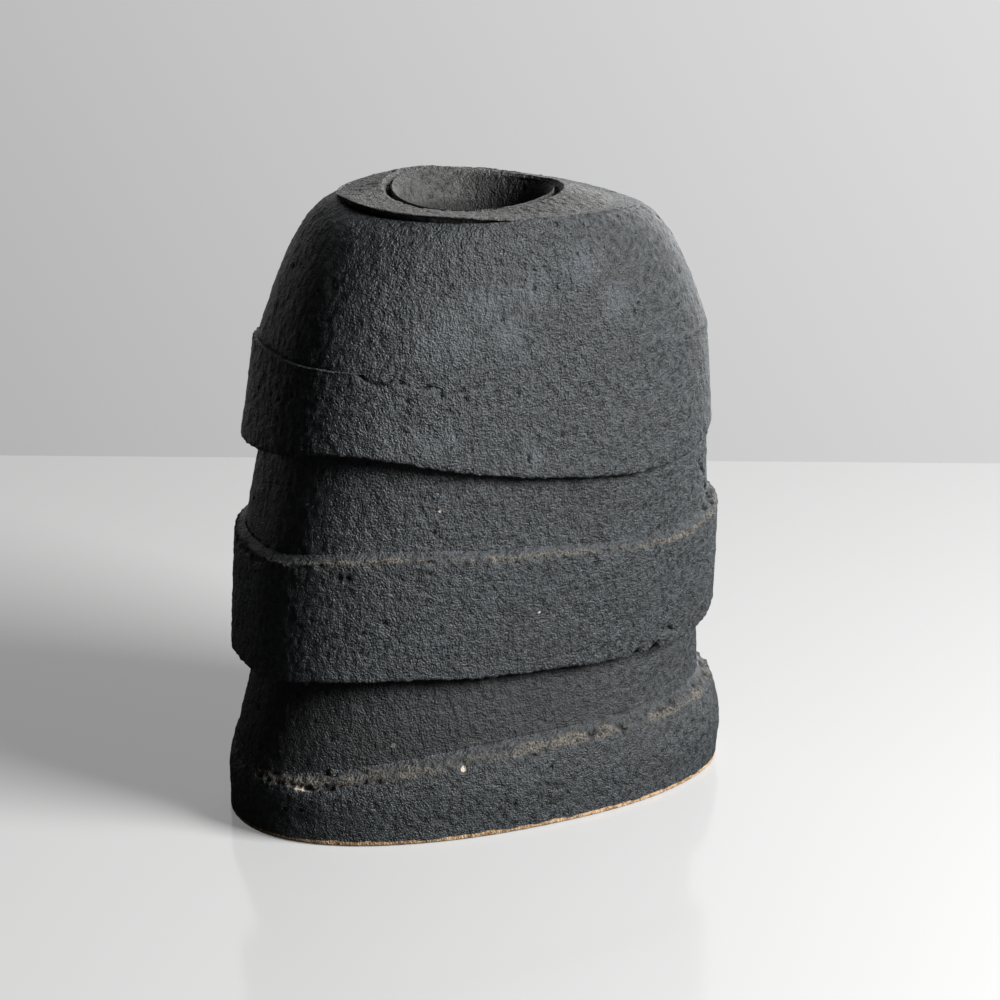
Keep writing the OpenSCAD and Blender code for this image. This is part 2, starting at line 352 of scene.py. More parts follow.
# ---------------------------------------------------------------------------------------------
# Foot band
# A slab of the same clay wrapped round the floor, luted on, and swelling a little over the table.
# Its top edge is left torn and open, and its bottom rim is wiped clean of slip before the firing.

COLUMNS = 800
turn = turns(COLUMNS)
# Spacing of the rows where a slab shows and where it is hidden, and how far luted slabs overlap.
SHOWN = 0.5
HIDDEN = 3.0
LUTE = 0.8
# The relief is lowered by this much, so that it stays inside the design's outline.
KEEP_IN = 0.45
foot_size, foot_middle, foot_low, _ = node_size("foot_band")
base_size = foot_size - (0.9, 1.7)
base_shift = (-0.5, 0)
swell_height = 13.5
foot_ledge_size = foot_size - (2.7, 1.1)
foot_ledge_shift = (-0.7, 0)
foot_ledge_height = 23.5
foot_ledge_rise = (0.039, 0)
foot_ledge_wave = (0, -1.7, 1.3, 1.3)
foot_ledge_slope = 3.0
foot_back_rise = 6.0
bare_rim_height = 1.5
bare_rim_blur = 0.2
foot_crack = [(212, 18.0), (219, 18.8), (226, 19.2), (234, 19.4)]
foot_pits = [(311, 26.5), (349, 26.0), (356, 27.5), (290, 25.5), (282, 25.5), (326, 27), (337, 27),
             (343, 28), (352, 28), (2, 29), (8, 30), (305, 26), (346, 26), (230, 22), (221, 22)]
foot_side_pits = [(290, 19.5), (262, 15), (301, 14), (233, 12), (246, 17), (275, 9), (320, 17)]
foot_chips = [(209, 18.6), (211, 18.8), (213, 19.0), (254, 22.8)]


def relief(points):
    """Hand-built unevenness with grog under slip: broad swells, palm-sized dents, upright dabs
    and grains, as gradient noise of falling size. Nearly all of it cuts in below the surface."""
    upright = points * (1, 1, 0.6)
    swell = 0.28 * noise(points, 26, 21) + 0.14 * noise(points, 9, 22)
    dabs = 0.12 * noise(upright, 3.2, 23) + 0.17 * noise(upright, 1.9, 24)
    return swell + dabs + 0.14 * noise(points, 1.1, 25) - KEEP_IN


def pits(points, size, share, radius, depth, seed):
    """Small round pits where grog has pulled out: one at each scattered seed whose number is
    below share, with a parabola for its section."""
    far, own = nearest_seed(points, size, seed)
    reach = radius * (0.5 + 0.9 * own / share)
    hole = np.where(own < share, np.clip(1 - (far / reach) ** 2, 0, 1), 0)
    return depth * hole, hole


def weather(skin, amount):
    """Gives a skin its relief and its scattered pits, by an amount for each corner."""
    share = skin.by_corner(amount)
    hollow, hole = pits(skin.points, 4.5, 0.35, 0.8, 0.6, 31)
    grog = pits(skin.points, 3.6, 0.16, 0.45, 1.0, 32)[1]
    skin.push((relief(skin.points) - hollow) * share)
    # The pits are coloured black in the material, as painted shade.
    skin.masks["pit"] = hole * share
    skin.masks["grog"] = grog * share


def torn_ledge(skin, corner, width, seed):
    """Crumbles a ledge and its outer corner: noise at the size of grog, ragged nicks along the
    corner and many small pits. Marks the ledge as worn, where the slip is too thin to be black."""
    past = skin.past(corner)
    fray = noise(skin.points, 4.5, seed + 1)
    on_ledge = smooth(-0.8, 0.6, past + 0.9 * fray)
    on_ledge = on_ledge * (1 - smooth(width - 0.8, width + 1.2, past + fray))
    grit = 0.42 * noise(skin.points, 1.3, seed) + 0.28 * noise(skin.points, 3.0, seed + 2)
    hollow, hole = pits(skin.points, 3.2, 0.35, 0.9, 0.8, seed + 3)
    nick = np.clip(noise(skin.points, 2.6, seed + 4), 0, 1) * np.exp(-(past / 1.3) ** 2)
    skin.push((grit - hollow - 0.15) * on_ledge - 1.1 * nick)
    skin.masks["worn"] = on_ledge * (0.75 + 0.25 * noise(skin.points, 30, seed + 5))
    # The pits are coloured black in the material, as painted shade.
    skin.masks["pit"] = np.maximum(skin.masks["pit"], hole * on_ledge)


def rough_lip(skin, corner, seed):
    """Crumbles a lip: noise at the size of grog and ragged nicks, fading as a bell from a corner."""
    bell = np.exp(-(skin.past(corner) / 2.0) ** 2)
    nick = np.clip(noise(skin.points, 2.2, seed), 0, 1)
    nick = nick + np.clip(noise(skin.points, 5.0, seed + 1), 0, 1)
    skin.push((0.35 * noise(skin.points, 1.2, seed + 2) - 0.8 * nick) * bell)


def find(skin, face, degrees, height):
    """The point of a skin at an angle round it and a height. face is the number of the corner
    whose run it is on, or of the first and the last such corner."""
    column = np.argmin(np.abs(turn - math.radians(degrees)))
    first, last = np.broadcast_to(face, 2)
    rows = np.flatnonzero((skin.place >= first) & (skin.place < last + 1))
    row = rows[np.argmin(np.abs(skin.points[rows, column, 2] - height))]
    return skin.points[row, column]


def press(skin, face, spots, radius, depth, mask):
    """Presses ragged bells into a skin at angles and heights, and marks them on a mask."""
    total = np.zeros(skin.points.shape[:2])
    for degrees, height in spots:
        far = np.linalg.norm(skin.points - find(skin, face, degrees, height), axis=-1)
        bell = np.exp(-(far / radius) ** 2 * (1 + 0.6 * noise(skin.points, 1.8, 71)))
        total = np.maximum(total, bell)
    skin.push(-depth * total)
    skin.masks[mask] = np.maximum(skin.masks.get(mask, 0), total)


def crack(skin, face, path, width, depth):
    """Cuts a ragged crack along a path of angles and heights: the depth falls off as a bell of
    the distance to the nearest stretch of the path, and noise breaks it up."""
    knots = [find(skin, face, degrees, height) for degrees, height in path]
    stray = 0.4 * noise(skin.points, 1.6, 72) + 0.9 * noise(skin.points, 5, 74)
    wander = skin.points + stray[..., None]
    nearest = np.full(skin.points.shape[:2], 99.0)
    for start, end in itertools.pairwise(knots):
        run = end - start
        share = np.clip(((wander - start) @ run) / (run @ run + 1e-9), 0, 1)
        far = np.linalg.norm(wander - start - share[..., None] * run, axis=-1)
        nearest = np.minimum(nearest, far)
    bell = np.exp(-(nearest / width) ** 2) * smooth(-0.7, 0.1, noise(skin.points, 3.0, 73))
    skin.push(-depth * bell)
    # The crack is coloured black in the material, as painted shade.
    skin.masks["pit"] = np.maximum(skin.masks["pit"], bell)


def slip_material(name, dark, light, warm):
    """Black slip over grogged stoneware: brown where it is worn, tan where it is wiped off.
    Painted highlight: pale blue-grey on marked spots, partly thick slip. Painted shade: black in the pits
    and cracks, and near black where the painted shade mask is set."""
    material, start = new_material(name)
    black = (0.003, 0.003, 0.003, 1)
    shade_black = (0.002, 0.002, 0.002, 1)
    grain = start.speckle(620, 4.0, (1, 1, 0.8))
    fine = start.speckle(1700, 2.0)
    drift = start.speckle(34, 3.0)
    salt = start.speckle(2100, 1.0)
    colour = (0.65 * grain + 0.35 * fine).step(0.40, 0.58).mix(dark, light)
    colour = (drift.step(0.45, 0.75) * 0.5).mix(colour, warm)
    # Painted highlight: pale blue-grey spots where the highlight falls on the skirt and the dome, partly
    # thick slip.
    colour = (start.mask("highlight_and_thick_slip") * (0.2 + 0.6 * fine)).mix(colour, (0.115, 0.128, 0.142, 1))
    colour = salt.step(0.68, 0.74).mix(colour, (0.13, 0.13, 0.125, 1))
    colour = (0.6 * salt + 0.4 * grain).step(0.42, 0.36).mix(colour, black)
    colour = (start.mask("grog") * 0.7).mix(colour, (0.20, 0.195, 0.18, 1))
    patchy = start.speckle(150, 3.0).step(0.40, 0.60)
    worn = start.mask("worn") * (0.15 + 0.5 * grain + 0.75 * patchy)
    brown = fine.step(0.38, 0.60).mix((0.014, 0.012, 0.010, 1), (0.17, 0.152, 0.128, 1))
    colour = worn.step(0.15, 0.85).mix(colour, brown)
    tan = grain.step(0.35, 0.65).mix((0.30, 0.17, 0.078, 1), (0.70, 0.49, 0.29, 1))
    colour = start.mask("bare").step(0.3, 0.7).mix(colour, tan)
    colour = start.mask("chip").step(0.25, 0.6).mix(colour, (0.60, 0.53, 0.44, 1))
    # Painted shade: pits, cracks and tears are coloured black.
    colour = start.mask("pit").step(0.15, 0.8).mix(colour, black)
    # Painted shade: near black wherever the painted shade mask is set.
    colour = start.mask("painted_shade").mix(colour, shade_black)
    dull = start.mask("worn") + start.mask("bare") + 0.5 * start.mask("painted_shade")
    roughness = 0.29 + 0.20 * fine + 0.10 * drift + 0.35 * dull
    height = 0.9 * grain + 0.8 * fine + 0.3 * salt
    finish_surface(start, colour, roughness, height, 0.0008, 0.6)
    return material


black_slip = slip_material("black_slip", (0.008, 0.0098, 0.0108, 1), (0.050, 0.059, 0.065, 1),
                           (0.030, 0.030, 0.029, 1))
foot_wall = {"rise": foot_ledge_rise, "wave": foot_ledge_wave, "shift": floor_shift}
foot_wall_top = foot_ledge_height + foot_ledge_slope
foot_ledge = rail(turn, FOOT_POWER, foot_ledge_size, foot_ledge_height, foot_ledge_shift,
                  foot_ledge_rise, foot_ledge_wave)
foot_ledge_inside = rail(turn, FOOT_POWER, floor_size - LUTE, foot_wall_top, **foot_wall)
# At the right end and behind, the ledges of the bands climb higher than the plain slope and waves.
back_right = smooth(-0.05, 0.3, np.sin(turn)) * smooth(0.1, 0.9, np.cos(turn))
foot_ledge[:, 2] += foot_back_rise * back_right
foot_ledge_inside[:, 2] += foot_back_rise * back_right
foot_skin = loop(
    [rail(turn, FOOT_POWER, base_size, foot_low, base_shift),
     rail(turn, FOOT_POWER, foot_size, swell_height, foot_middle),
     foot_ledge,
     foot_ledge_inside,
     rail(turn, FOOT_POWER, floor_size - LUTE, floor_high, floor_shift),
     rail(turn, FOOT_POWER, floor_size, foot_low, floor_shift)],
    [0.8, 8.0, 1.3, 0.6, 0, 0.3],
    [SHOWN, SHOWN, SHOWN, HIDDEN, HIDDEN, HIDDEN])
weather(foot_skin, [0.3, 1, 1, 0.6, 0, 0])
torn_ledge(foot_skin, 2, 4.2, 41)
crack(foot_skin, 1, foot_crack, 0.5, 0.9)
press(foot_skin, 2, foot_pits, 1.1, 1.2, "pit")
press(foot_skin, 1, foot_side_pits, 0.6, 0.7, "pit")
press(foot_skin, 1, foot_chips, 0.9, 0.3, "chip")
foot_rim = foot_skin.points[..., 2] + 0.5 * noise(foot_skin.points, 6, 45)
foot_bare = smooth(bare_rim_height - bare_rim_blur, bare_rim_height + bare_rim_blur, foot_rim)
foot_skin.masks["bare"] = 1 - foot_bare
foot_skin.points[..., 2] = np.maximum(foot_skin.points[..., 2], foot_low)
foot_band = add_mesh("foot_band_clay", foot_skin, black_slip)
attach(foot_band, "root")
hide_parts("foot_band")


# ---------------------------------------------------------------------------------------------
# Lower wall
# The first of the two slabs rolled into an oval tube. It stands on the floor inside the foot band
# and leans in a little on its way up to the middle band, where its plain top edge is hidden.

WALL = 6.0
middle_lip = {"shift": (-1.4, 0), "rise": (0.005, 0), "wave": (1.7, -0.8, 2.8, -0.3)}
middle_lip_size = np.array([72.9, 40.7])
middle_lip_height = 48.0
lip_undercut = 1.2
lower_top_size = np.array([66.8, 35.4])
lower_top = {**middle_lip, "shift": (0, 0)}
upper_foot_size = np.array([68.7, 40.6])
seam_height = 65.0
seam_size = (lower_top_size + upper_foot_size) / 2
lower_wall_dip = 2.0
lower_shade = 0.62
lower_chips = [(239, 29.0), (206, 46.0)]
lower_skin = loop(
    [rail(turn, FOOT_POWER, floor_size, floor_high, floor_shift),
     rail(turn, FOOT_POWER, floor_size, foot_wall_top - lower_wall_dip, **foot_wall),
     rail(turn, BODY_POWER, lower_top_size, middle_lip_height + lip_undercut, **lower_top),
     rail(turn, BODY_POWER, seam_size, seam_height),
     rail(turn, BODY_POWER, seam_size - WALL, seam_height),
     rail(turn, FOOT_POWER, floor_size - WALL, floor_high, floor_shift)],
    [0.3, 2.0, 2.0, 0.5, 0.5, 0.3],
    [HIDDEN, SHOWN, HIDDEN, HIDDEN, HIDDEN, HIDDEN])
weather(lower_skin, [0, 1, 1, 0, 0, 0])
press(lower_skin, 1, lower_chips, 0.7, 0.2, "chip")
# Painted shade: this wall, in the shade of the middle band's lip above it, is darkened towards black, except
# at its right end.
lower_skin.masks["painted_shade"] = lower_shade * smooth(0.9, -0.2, np.cos(turn))
lower_wall = add_mesh("lower_wall_clay", lower_skin, black_slip)
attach(lower_wall, "root")
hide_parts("lower_wall")


# ---------------------------------------------------------------------------------------------
# Middle band
# The widest slab, wrapped over the butt seam of the two walls and pressed on. Its lower lip hangs
# clear of the lower wall and is torn at the right front. Its top edge is rough like the foot's.

middle_ledge = {"shift": (-0.1, 0), "rise": (-0.014, 0), "wave": (0.4, -0.4, 2.6, -0.2)}
middle_ledge_size = np.array([72.0, 42.8])
middle_ledge_height = 83.1
middle_ledge_slope = 2.0
middle_back_rise = 2.5
lip_tear = [(290.5, 44), (296, 44.5), (297, 46.5)]
lip_crack = [(297, 46.0), (297.5, 48.0), (299, 50.5), (302, 51.5), (304, 50.5)]
middle_pits = [(352, 74), (355, 71), (358, 71.5), (359, 67), (224, 80), (226, 80.5)]
middle_ledge_pits = [(326, 84.5), (332, 84), (336, 85), (340, 85), (350, 85), (355, 86), (2, 86),
                     (8, 86)]
middle_chips = [(270, 65)]
middle_top = rail(turn, BODY_POWER, middle_ledge_size, middle_ledge_height, **middle_ledge)
middle_top_inside = rail(turn, BODY_POWER, upper_foot_size - LUTE,
                         middle_ledge_height + middle_ledge_slope, **middle_ledge)
middle_top[:, 2] += middle_back_rise * back_right
middle_top_inside[:, 2] += middle_back_rise * back_right
middle_skin = loop(
    [rail(turn, BODY_POWER, middle_lip_size, middle_lip_height, **middle_lip),
     middle_top,
     middle_top_inside,
     rail(turn, BODY_POWER, seam_size - LUTE, seam_height),
     rail(turn, BODY_POWER, lower_top_size - LUTE, middle_lip_height + lip_undercut, **lower_top)],
    [1.8, 1.2, 0.6, 0, 0.5],
    [SHOWN, SHOWN, HIDDEN, HIDDEN, SHOWN])
weather(middle_skin, [1, 1, 0.6, 0, 0.3])
torn_ledge(middle_skin, 1, 2.2, 51)
rough_lip(middle_skin, 0, 81)
press(middle_skin, 0, lip_tear, 1.3, 2.8, "pit")
crack(middle_skin, 0, lip_crack, 0.6, 1.6)
press(middle_skin, 0, middle_pits, 0.9, 0.8, "pit")
press(middle_skin, 1, middle_ledge_pits, 1.2, 1.2, "pit")
press(middle_skin, 0, middle_chips, 0.5, 0.1, "chip")
middle_band = add_mesh("middle_band_clay", middle_skin, black_slip)
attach(middle_band, "root")
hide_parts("middle_band")


# ---------------------------------------------------------------------------------------------
# Upper wall
# The second slab of the tube, standing on the lower wall behind the middle band. It narrows up to
# the dome and ends under the shoulder, which rests on it. It cracked at the right as it dried.

dome_lip = {"shift": (-0.3, 0), "rise": (-0.041, 0), "wave": (1.4, 0.9, 2.7, -2.1)}
dome_lip_size = np.array([68.6, 45.0])
dome_lip_height = 107.6
upper_top_size = np.array([65.5, 41.3])
upper_top = {**dome_lip, "shift": (2.1, 0)}
skirt_top_size = np.array([65.2, 43.3])
skirt_top_shift = (1.0, 0)
skirt_top_height = 138.0
upper_wall_dip = 1.5
wall_top_size = skirt_top_size - WALL
wall_top_height = skirt_top_height - 1
upper_crack = [(321, 98), (325, 94), (330, 89.5), (337, 86)]
upper_chips = [(204, 99), (250, 98)]
upper_foot_height = middle_ledge_height + middle_ledge_slope - upper_wall_dip
upper_skin = loop(
    [rail(turn, BODY_POWER, seam_size, seam_height),
     rail(turn, BODY_POWER, upper_foot_size, upper_foot_height, **middle_ledge),
     rail(turn, BODY_POWER, upper_top_size, dome_lip_height + lip_undercut, **upper_top),
     rail(turn, BODY_POWER, wall_top_size, wall_top_height, skirt_top_shift),
     rail(turn, BODY_POWER, wall_top_size - WALL, wall_top_height, skirt_top_shift),
     rail(turn, BODY_POWER, upper_top_size - WALL, dome_lip_height, **upper_top),
     rail(turn, BODY_POWER, seam_size - WALL, seam_height)],
    [0.3, 2.0, 2.0, 0.3, 0.5, 3.0, 0.3],
    [HIDDEN, SHOWN, HIDDEN, HIDDEN, HIDDEN, HIDDEN, HIDDEN])
weather(upper_skin, [0, 1, 1, 0, 0, 0, 0])
crack(upper_skin, 1, upper_crack, 0.6, 1.3)
press(upper_skin, 1, upper_chips, 0.5, 0.1, "chip")
upper_wall = add_mesh("upper_wall_clay", upper_skin, black_slip)
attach(upper_wall, "root")
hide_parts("upper_wall")


# ---------------------------------------------------------------------------------------------
# Skirt of the dome
# The slab that hangs over the upper wall like a hem, longest at the front. Its lower edge is thick
# and rounded by hand, and its upper edge is smoothed up into the shoulder.

skirt_step = 0.8
cap_size = skirt_top_size - skirt_step
skirt_top_dip = 0.2
seam_cracks = [(224, 137), (230, 134.5), (236, 136), (241, 133), (247, 134), (252, 132), (258, 132.5)]
seam_pits = [(262, 131), (266, 129.5), (270, 131), (255, 130), (249, 131), (283, 128), (240, 130)]
skirt_highlight_spots = [(234, 122), (238, 118), (243, 120), (247, 117), (252, 119), (268, 113), (269, 111)]
lip_smudge_crack = [(268, 112.0), (268, 108.0)]
skirt_skin = loop(
    [rail(turn, BODY_POWER, dome_lip_size, dome_lip_height, **dome_lip),
     rail(turn, BODY_POWER, skirt_top_size, skirt_top_height, skirt_top_shift),
     rail(turn, BODY_POWER, cap_size - LUTE, skirt_top_height - skirt_top_dip, skirt_top_shift),
     rail(turn, BODY_POWER, wall_top_size - LUTE, wall_top_height, skirt_top_shift),
     rail(turn, BODY_POWER, upper_top_size - LUTE, dome_lip_height + lip_undercut, **upper_top)],
    [2.4, 0.5, 0, 0, 0.5],
    [SHOWN, SHOWN, HIDDEN, HIDDEN, SHOWN])
weather(skirt_skin, [1, 1, 0.6, 0, 0.3])
rough_lip(skirt_skin, 0, 91)
crack(skirt_skin, 0, seam_cracks, 0.4, 0.9)
crack(skirt_skin, 0, lip_smudge_crack, 0.5, 1.0)
press(skirt_skin, 0, seam_pits, 0.8, 0.7, "pit")
# Painted highlight: pale patches at the front left of the skirt, partly thick slip.
press(skirt_skin, 0, skirt_highlight_spots, 2.6, 0.0, "highlight_and_thick_slip")
skirt_band = add_mesh("skirt_band_clay", skirt_skin, black_slip)
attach(skirt_band, "root")
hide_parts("skirt_band")


# ---------------------------------------------------------------------------------------------
# Shoulder cap
# A slab pressed over a hump into a low dome, set on the skirt and the upper wall, and cut open at
# the crown. The seam with the skirt is paddled shut, and shows only as a faint ridge and cracks.

collar_size = np.array([43.8, 37.5])
collar_wave = (-0.9, -0.3, -0.5, 0.2)
collar_seat = {"shift": (2.3, -1.0), "rise": (-0.043, 0), "wave": collar_wave}
collar_seat_height = 175.4
mouth_size = np.array([24.2, 23.2])
mouth = {"shift": (-1.4, 0.7), "rise": (0, 0.054), "wave": (-0.1, -1.0, 0.2, -0.1)}
mouth_height = 178.4
mouth_thickness = 2.5
crown_overlap = 0.5
dome_spring_height = 76.0
dome_power = 1.75
dome_rings = 12
cap_step = 0.68
hem_depth = 1.2
hem_root_depth = 1.8
seam_flush = 0.10
seam_step = 1.0
seam_step_turn = math.radians(8)
seam_reach = 55
cap_highlight_spots = [(244, 146), (250, 151), (252, 145), (258, 155), (268, 158), (278, 163), (264, 146),
             (285, 152)]
cap_pits = [(262, 150), (290, 147), (272, 143), (300, 158), (246, 160), (310, 146), (281, 166)]
dome_rise = (skirt_top_height - dome_spring_height) / (collar_seat_height - dome_spring_height)
spring_angle = math.asin(dome_rise ** (dome_power / 2))


def dome_between(low, high, angle):
    """Ring on the dome between its foot and its seat. The share out is a power of the cosine of
    the angle, and the share up a power of its sine, so the section is a piece of an oval."""
    out = (math.cos(angle) / math.cos(spring_angle)) ** (2 / dome_power)
    up = (math.sin(angle) ** (2 / dome_power) - dome_rise) / (1 - dome_rise)
    return high + (low - high) * (out, out, 1 - up)


dome_shares = np.arange(1, dome_rings + 1) / (dome_rings + 1)
dome_angles = spring_angle + (math.pi / 2 - spring_angle) * dome_shares
cap_root = rail(turn, BODY_POWER, cap_size - LUTE, skirt_top_height - hem_root_depth, skirt_top_shift)
cap_foot = rail(turn, BODY_POWER, skirt_top_size, skirt_top_height, skirt_top_shift)
# The foot of the cap is flush with the skirt, except at the left, where it is set in by a step.
seam_inset = seam_flush + seam_step * smooth(-0.2, -0.9, np.cos(turn - seam_step_turn))[:, None]
cap_foot[:, :2] = skirt_top_shift + (cap_foot[:, :2] - skirt_top_shift) * (1 - seam_inset / seam_reach)
cap_hem = cap_foot - (0, 0, hem_depth)
cap_seat = rail(turn, CROWN_POWER, collar_size - crown_overlap, collar_seat_height - 0.1, **collar_seat)
cap_foot_inside = rail(turn, BODY_POWER, wall_top_size - WALL, wall_top_height, skirt_top_shift)
cap_seat_inside = rail(turn, CROWN_POWER, collar_size - (5, 6), collar_seat_height - WALL,
                       **collar_seat)
cap_outside = [dome_between(cap_foot, cap_seat, angle) for angle in dome_angles]
cap_inside = [dome_between(cap_foot_inside, cap_seat_inside, angle) for angle in dome_angles[::-2]]
mouth_seat_height = mouth_height - mouth_thickness
cap_rails = [cap_root, cap_hem, cap_foot, *cap_outside, cap_seat,
             rail(turn, CROWN_POWER, mouth_size + crown_overlap, mouth_seat_height, **mouth),
             rail(turn, CROWN_POWER, mouth_size - crown_overlap, mouth_seat_height - WALL, **mouth),
             *cap_inside, cap_foot_inside,
             rail(turn, BODY_POWER, wall_top_size, wall_top_height, skirt_top_shift)]
cap_hidden = len(cap_rails) - dome_rings - 3
cap_skin = loop(
    cap_rails,
    [0.2, 0.2, 0.4] + [1.5] * dome_rings + [0.5] * 3 + [2.0] * len(cap_inside) + [0.3, 0.3],
    [cap_step] * (dome_rings + 3) + [HIDDEN] * cap_hidden)
weather(cap_skin, [0.6, 1] + [1] * (dome_rings + 1) + [0.6] + [0] * (cap_hidden - 1))
cap_outer_faces = (2, dome_rings + 2)
# Painted highlight: pale patches where the highlight falls on the front of the dome, partly thick slip.
press(cap_skin, cap_outer_faces, cap_highlight_spots, 5.0, 0.0, "highlight_and_thick_slip")
press(cap_skin, cap_outer_faces, cap_pits, 0.7, 0.7, "pit")
shoulder_cap = add_mesh("shoulder_cap_clay", cap_skin, black_slip)
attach(shoulder_cap, "root")
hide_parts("shoulder_cap")


# ---------------------------------------------------------------------------------------------
# Luting coils
# Soft rolls of clay pressed into the inner seams to seal them: round the floor, over the butt seam
# of the two walls, and under the shoulder. They stay bare, because slip never reaches them.

coil_width = 6.0
coil_bulge = 0.6
coil_turn = turns(240)
coil_step = 1.2
coils = {
    "floor_coil": (FOOT_POWER, floor_size - WALL, floor_high, floor_high + coil_width, floor_shift),
    "waist_coil": (BODY_POWER, seam_size - WALL, seam_height - coil_width, seam_height + coil_width,
                   (0, 0)),
    "shoulder_coil": (BODY_POWER, wall_top_size - WALL, wall_top_height - coil_width, wall_top_height,
                      skirt_top_shift),
}
for coil_name, (power, size, low, high, shift) in coils.items():
    toe, crest = 0, (low + high) / 2
    if coil_name == "floor_coil":
        toe, crest = coil_width, low + coil_bulge * coil_width
    coil_skin = loop(
        [rail(coil_turn, power, size + LUTE - toe, low, shift),
         rail(coil_turn, power, size - coil_bulge * coil_width, crest, shift),
         rail(coil_turn, power, size + LUTE, high, shift)],
        [1.0, 2.0, 1.0], [coil_step] * 3)
    coil_skin.points = coil_skin.points[::-1]
    coil_skin.push(0.3 * noise(coil_skin.points, 7, 61) - 0.2)
    coil = add_mesh(coil_name + "_clay", coil_skin, bare_clay)
    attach(coil, "root")
    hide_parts(coil_name)


# ---------------------------------------------------------------------------------------------
# Mouth collar
# A thin ring of clay laid on the crown round the mouth. It stands proud at the left, with a dark
# gap under its edge, and is smeared into the shoulder at the right.

collar_thickness = 1.5
collar_thinning = -0.015
collar_edge = {**collar_seat, "rise": (collar_seat["rise"][0] + collar_thinning, 0)}
collar_rim = rail(turn, CROWN_POWER, collar_size, collar_seat_height + collar_thickness, **collar_edge)
# The rim is pressed down all along the back but for one peak, and again where it meets the right.
back_press = 1.5
back_peak = np.exp(-((turn - math.radians(98)) / math.radians(26)) ** 2)
right_press = 1.7
right_press_turn = math.radians(-30)
collar_rim[:, 2] -= back_press * (1 - back_peak) * smooth(0.0, 0.4, np.sin(turn))
collar_rim[:, 2] -= right_press * smooth(-0.15, 0.45, np.cos(turn - right_press_turn))
collar_undercut = 2.0
collar_slip = slip_material("collar_slip", (0.020, 0.0205, 0.0205, 1), (0.085, 0.085, 0.082, 1),
                            (0.055, 0.050, 0.043, 1))
collar_skin = loop(
    [rail(turn, CROWN_POWER, collar_size - collar_undercut, collar_seat_height - 0.6, **collar_seat),
     collar_rim,
     rail(turn, CROWN_POWER, mouth_size + 1, mouth_height, **mouth),
     rail(turn, CROWN_POWER, mouth_size, mouth_seat_height, **mouth)],
    [0.3, 0.9, 0.9, 0.3],
    [SHOWN, SHOWN, SHOWN, 1.0])
weather(collar_skin, [0.3, 1, 1, 0.3])
mouth_collar = add_mesh("mouth_collar_clay", collar_skin, collar_slip)
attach(mouth_collar, "root")
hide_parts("mouth_collar")


# ---------------------------------------------------------------------------------------------
# Throat liner
# A strip of clay rolled into a short funnel and luted into the hole of the shoulder. It is parted
# from the collar by a crevice. Its deep part and its right end carry painted shade.

throat_wall = 3.5
throat_end_size = np.array([17.0, 15.0])
_, _, throat_low, _ = node_size("throat_liner")
crevice = 1
liner_top_height = mouth_height - 0.4
throat_skin = loop(
    [rail(turn, CROWN_POWER, mouth_size - crevice, mouth_seat_height - WALL, **mouth),
     rail(turn, CROWN_POWER, mouth_size - crevice, liner_top_height, **mouth),
     rail(turn, CROWN_POWER, mouth_size - 2.2, liner_top_height - 0.6, **mouth),
     rail(turn, CROWN_POWER, mouth_size - throat_wall, liner_top_height - 2.4, **mouth),
     rail(turn, CROWN_POWER, throat_end_size - throat_wall, throat_low, mouth["shift"]),
     rail(turn, CROWN_POWER, throat_end_size, throat_low, mouth["shift"])],
    [0.3, 0.8, 0.8, 0.8, 1.0, 1.0],
    [1.0, SHOWN, SHOWN, SHOWN, 1.0, 2.0])
weather(throat_skin, [0, 0.6, 1, 1, 0.5, 0])
# Painted shade: the liner is darkened to black at its right end, whose wall faces away from the
# softbox, and below a depth of 5 to 9 mm, where the throat lies in shade. All of it is darkened by a quarter
# at least.
throat_thin = 0.25
throat_right_shade_turn = math.radians(12)
throat_depth = mouth_height - throat_skin.points[..., 2]
throat_right_shade = smooth(0.35, 0.7, np.cos(turn - throat_right_shade_turn)) * smooth(0.8, 2.0, throat_depth)
throat_shade = np.maximum(smooth(5, 9, throat_depth), throat_right_shade)
throat_skin.masks["painted_shade"] = np.maximum(throat_shade, throat_thin)
throat_liner = add_mesh("throat_liner_clay", throat_skin, collar_slip)
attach(throat_liner, "root")
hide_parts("throat_liner")


# ---------------------------------------------------------------------------------------------
# Studio
# A glossy pale table that ends a little behind the vase, a plain grey room, a soft light at the
# right, a weak one behind, and a camera on a tripod that looks down a little on the vase.

view_azimuth = math.radians(-25.12)
view_elevation = math.radians(17.86)
view_distance = 0.83
aim = np.array([0.0161, 0.0203, 0.0778])
lens = 99.86
# The far edge of the table: how far it lies behind the vase, in metres, and how it slants.
table_back = 0.321
table_slant = -0.0274
table_reach = 3.0

back = np.array([math.sin(view_azimuth) * math.cos(view_elevation),
                 -math.cos(view_azimuth) * math.cos(view_elevation), math.sin(view_elevation)])
away = np.array([-math.sin(view_azimuth), math.cos(view_azimuth), 0])
right = np.array([math.cos(view_azimuth), math.sin(view_azimuth), 0])
camera_data = bpy.data.cameras.new("camera")
camera_data.lens = lens
camera_data.sensor_width = 36
camera = bpy.data.objects.new("camera", camera_data)
bpy.context.scene.collection.objects.link(camera)


def look(thing, place, target):
    """Puts a camera or a light at a place, turned to a target."""
    thing.location = place
    thing.rotation_euler = Vector(np.subtract(target, place)).to_track_quat("-Z", "Y").to_euler()


look(camera, aim + back * view_distance, aim)
bpy.context.scene.camera = camera

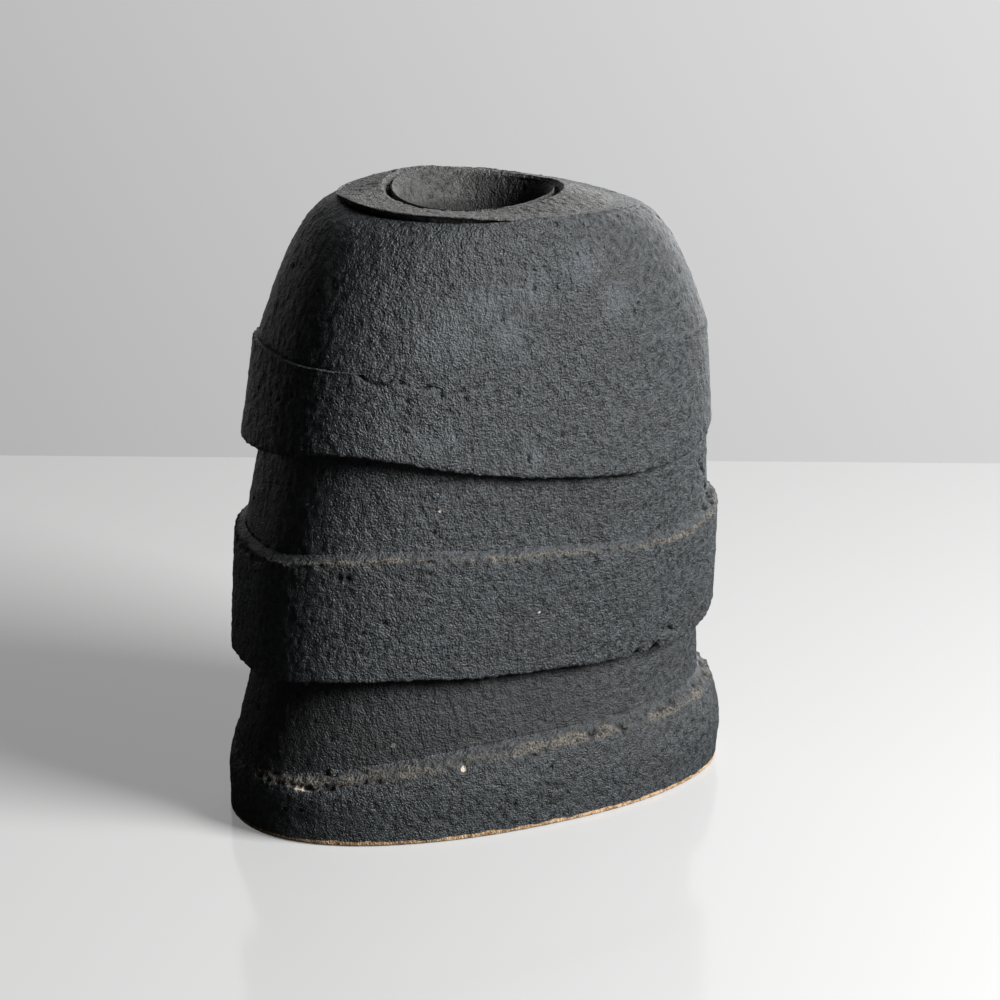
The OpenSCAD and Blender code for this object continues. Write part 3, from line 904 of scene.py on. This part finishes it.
# The table throws little light back, so that the side away from the softbox stays nearly black.
table_material, start = new_material("pale_table")
seen = start.node("ShaderNodeLightPath", output="Is Camera Ray")
top = start.node("ShaderNodeBsdfPrincipled", None, {
    "Base Color": (0.48, 0.48, 0.477, 1), "Roughness": 0.12, "Specular IOR Level": 0.5,
    "Emission Color": (1, 1, 1, 1), "Emission Strength": 0.17})
dim = start.node("ShaderNodeBsdfDiffuse", None, {"Color": (0.05, 0.05, 0.05, 1)})
surface = start.node("ShaderNodeMixShader", None, {0: seen, 1: dim, 2: top})
start.node("ShaderNodeOutputMaterial", None, {"Surface": surface})
corners = [right * x + away * y for x, y in (
    (-table_reach, -table_reach), (table_reach, -table_reach),
    (table_reach, table_back + table_reach * table_slant),
    (-table_reach, table_back - table_reach * table_slant))]
table_mesh = bpy.data.meshes.new("table")
table_mesh.from_pydata([tuple(c) for c in corners], [], [(0, 1, 2, 3)])
table = bpy.data.objects.new("table", table_mesh)
table_mesh.materials.append(table_material)
bpy.context.scene.collection.objects.link(table)


softbox_distance = 1.1
softbox_target = np.array([0, 0, 0.08])


def softbox(name, azimuth, elevation, side, power):
    """A square light on a stand, by its bearing round the vase in degrees, turned to the vase."""
    data = bpy.data.lights.new(name, "AREA")
    data.shape = "SQUARE"
    data.size = side
    data.energy = power
    light = bpy.data.objects.new(name, data)
    bpy.context.scene.collection.objects.link(light)
    a, e = math.radians(azimuth), math.radians(elevation)
    bearing = np.array([math.sin(a) * math.cos(e), -math.cos(a) * math.cos(e), math.sin(e)])
    look(light, softbox_target + bearing * softbox_distance, softbox_target)
    return light


softbox("key_softbox", 39, 30, 0.48, 28.5)

# The weak light behind shines on the clay alone, so it leaves nothing on the table.
clay = bpy.data.collections.new("clay")
for piece in bpy.data.objects:
    if piece.name.endswith("_clay"):
        clay.objects.link(piece)
softbox("back_softbox", 128, 8, 0.8, 4.5).light_linking.receiver_collection = clay

# The wall behind is bright and the rest of the room is dark. Straight views show grey all round.
# The grey grows brighter to the right and upwards, and stays even beyond the two limits.
wall_grey = 0.66
wall_across = 0.60
wall_upward = 0.35
across_limit = 0.3
upward_limit = 0.1
room_glow = 0.018
world = bpy.data.worlds.new("grey_room")
world.use_nodes = True
world.node_tree.nodes.clear()
bpy.context.scene.world = world
start = Wire(world.node_tree)
direct = start.node("ShaderNodeLightPath", output="Is Camera Ray")
heading = start.node("ShaderNodeTexCoord", output="Generated")
dot = {"operation": "DOT_PRODUCT"}
sideways = start.node("ShaderNodeVectorMath", dot, {0: heading, 1: right}, "Value")
onward = start.node("ShaderNodeVectorMath", dot, {0: heading, 1: away}, "Value")
height = start.node("ShaderNodeSeparateXYZ", None, {0: heading}, "Z")
across = start.maths("MAXIMUM", start.maths("MINIMUM", sideways, across_limit), -across_limit)
upward = start.maths("MINIMUM", height, upward_limit)
wall = wall_grey + wall_across * across + wall_upward * upward
behind = onward.step(0.5, 0.95)
glow = wall * (direct + (1 - direct) * behind) + room_glow * (1 - direct)
surface = start.node("ShaderNodeBackground", None, {"Color": glow, "Strength": 1.0})
start.node("ShaderNodeOutputWorld", None, {"Surface": surface})
bpy.context.scene.view_settings.view_transform = "Standard"
